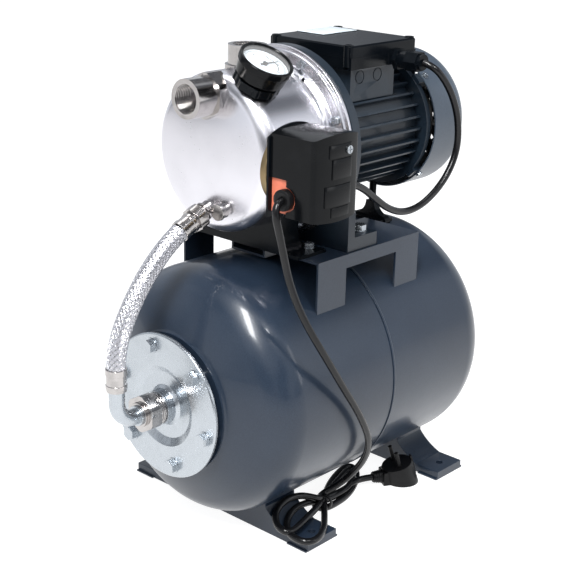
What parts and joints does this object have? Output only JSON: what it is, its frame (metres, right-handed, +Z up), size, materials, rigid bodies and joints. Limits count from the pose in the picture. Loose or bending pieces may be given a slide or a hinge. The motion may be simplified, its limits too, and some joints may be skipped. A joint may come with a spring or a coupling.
{
  "type": "shallow well jet pump",
  "caption": "Shallow well jet pump booster set: stainless jet pump and finned motor on a horizontal pressure tank, with gauge, pressure switch, braided hose and mains plug.",
  "frame": {"origin": "on the floor, in the middle of the four foot holes", "axes": "+Z up; +X along the tank and the shaft, from the suction side to the fan; -Y towards the pressure switch"},
  "size_m": [0.514, 0.2942, 0.5205],
  "materials": {
    "tank_paint": "glossy dark blue-grey paint with a fine orange peel",
    "motor_paint": "semi-gloss dark blue-grey paint on cast aluminium",
    "cover_paint": "satin grey-blue paint",
    "stainless": "satin deep drawn stainless steel",
    "nickel": "turned nickel plated brass",
    "zinc": "bright bluish zinc plating",
    "steel_braid": "stainless wire braid",
    "brass": "yellow passivated brass colour",
    "shaft_steel": "ground steel",
    "core_steel": "stacked sheet steel",
    "black_plastic": "near-black moulded plastic",
    "gloss_black": "glossy black moulded plastic",
    "inner_plastic": "glass filled plastic",
    "salmon_plastic": "salmon red moulded plastic",
    "dial_white": "white printed dial",
    "clear_lens": "clear window",
    "rubber": "soft rubber",
    "black_rubber": "black soft moulding",
    "cable_black": "black cable sheath with a soft gloss"
  },
  "bodies": {
    "pump_set": {"tank_front_shell": "tank_paint", "tank_rear_shell": "tank_paint", "tank_feet": "tank_paint", "platform": "tank_paint", "tank_bladder": "rubber", "tank_flange": "zinc", "flange_bolts": "zinc", "hex_reducer": "nickel", "hose_elbow": "zinc", "hose_ferrules": "nickel", "braided_hose": "steel_braid", "union_nut": "nickel", "casing_nipple": "nickel", "air_valve": "brass", "air_valve_cap": "black_plastic", "pump_casing": "stainless", "suction_port": "nickel", "discharge_port": "nickel", "drain_plug": "nickel", "ejector": "inner_plastic", "diffuser": "inner_plastic", "seal_plate": "stainless", "ring_bolts": "zinc", "casing_saddle": "black_plastic", "motor_adapter": "motor_paint", "base_bolts": "zinc", "ball_bearings": "shaft_steel", "wound_stator": "core_steel", "motor_frame": "motor_paint", "rear_shield": "motor_paint", "fan_cover": "cover_paint", "case_screws": "zinc", "terminal_box": "black_plastic", "terminal_lid": "black_plastic", "capacitor": "black_plastic", "cable_gland": "black_plastic", "gauge_case": "gloss_black", "gauge_dial": "dial_white", "gauge_lens": "clear_lens", "filler_plug": "black_plastic", "switch_cover": "gloss_black", "switch_base": "salmon_plastic", "switch_plate": "black_plastic", "switch_grommets": "black_rubber", "diaphragm_housing": "brass", "motor_support": "black_plastic", "motor_cable": "cable_black", "mains_cable": "cable_black", "cord_hank": "cable_black", "cord_tie": "cable_black", "mains_plug": "black_rubber"},
    "rotor": {"shaft": "shaft_steel", "rotor_core": "core_steel", "impeller": "brass", "cooling_fan": "inner_plastic", "shaft_seal": "inner_plastic"},
    "gauge_pointer": {"gauge_needle": "gloss_black"},
    "pressure_plunger": {"switch_plunger": "shaft_steel"},
    "contact_arm": {"contact_lever": "brass"},
    "valve_pin": {"air_valve_core": "brass"}
  },
  "joints": [
    {"name": "rotor_spin", "type": "hinge", "parent": "pump_set", "child": "rotor", "pos_m": [0, 0, 0.406], "axis": [1, 0, 0], "continuous": true},
    {"name": "gauge_pointer_turn", "type": "hinge", "parent": "pump_set", "child": "gauge_pointer", "pos_m": [-0.1305, -0.05289, 0.50142], "axis": [0, 0.4848, -0.8746], "range_deg": [0, 270]},
    {"name": "plunger_slide", "type": "slide", "parent": "pump_set", "child": "pressure_plunger", "axis": [0, -1, 0], "range_m": [0, 0.0015], "stiffness_N_per_m": 2000},
    {"name": "contact_arm_tip", "type": "hinge", "parent": "pump_set", "child": "contact_arm", "pos_m": [-0.13405, -0.1064, 0.386], "axis": [1, 0, 0], "range_deg": [0, 4.3]},
    {"name": "valve_pin_press", "type": "slide", "parent": "pump_set", "child": "valve_pin", "axis": [-1, 0, 0], "range_m": [0, 0.002], "stiffness_N_per_m": 500}
  ],
  "couplings": [
    {"joint": "contact_arm_tip", "follows": "plunger_slide", "rad_per_m": 49}
  ]
}
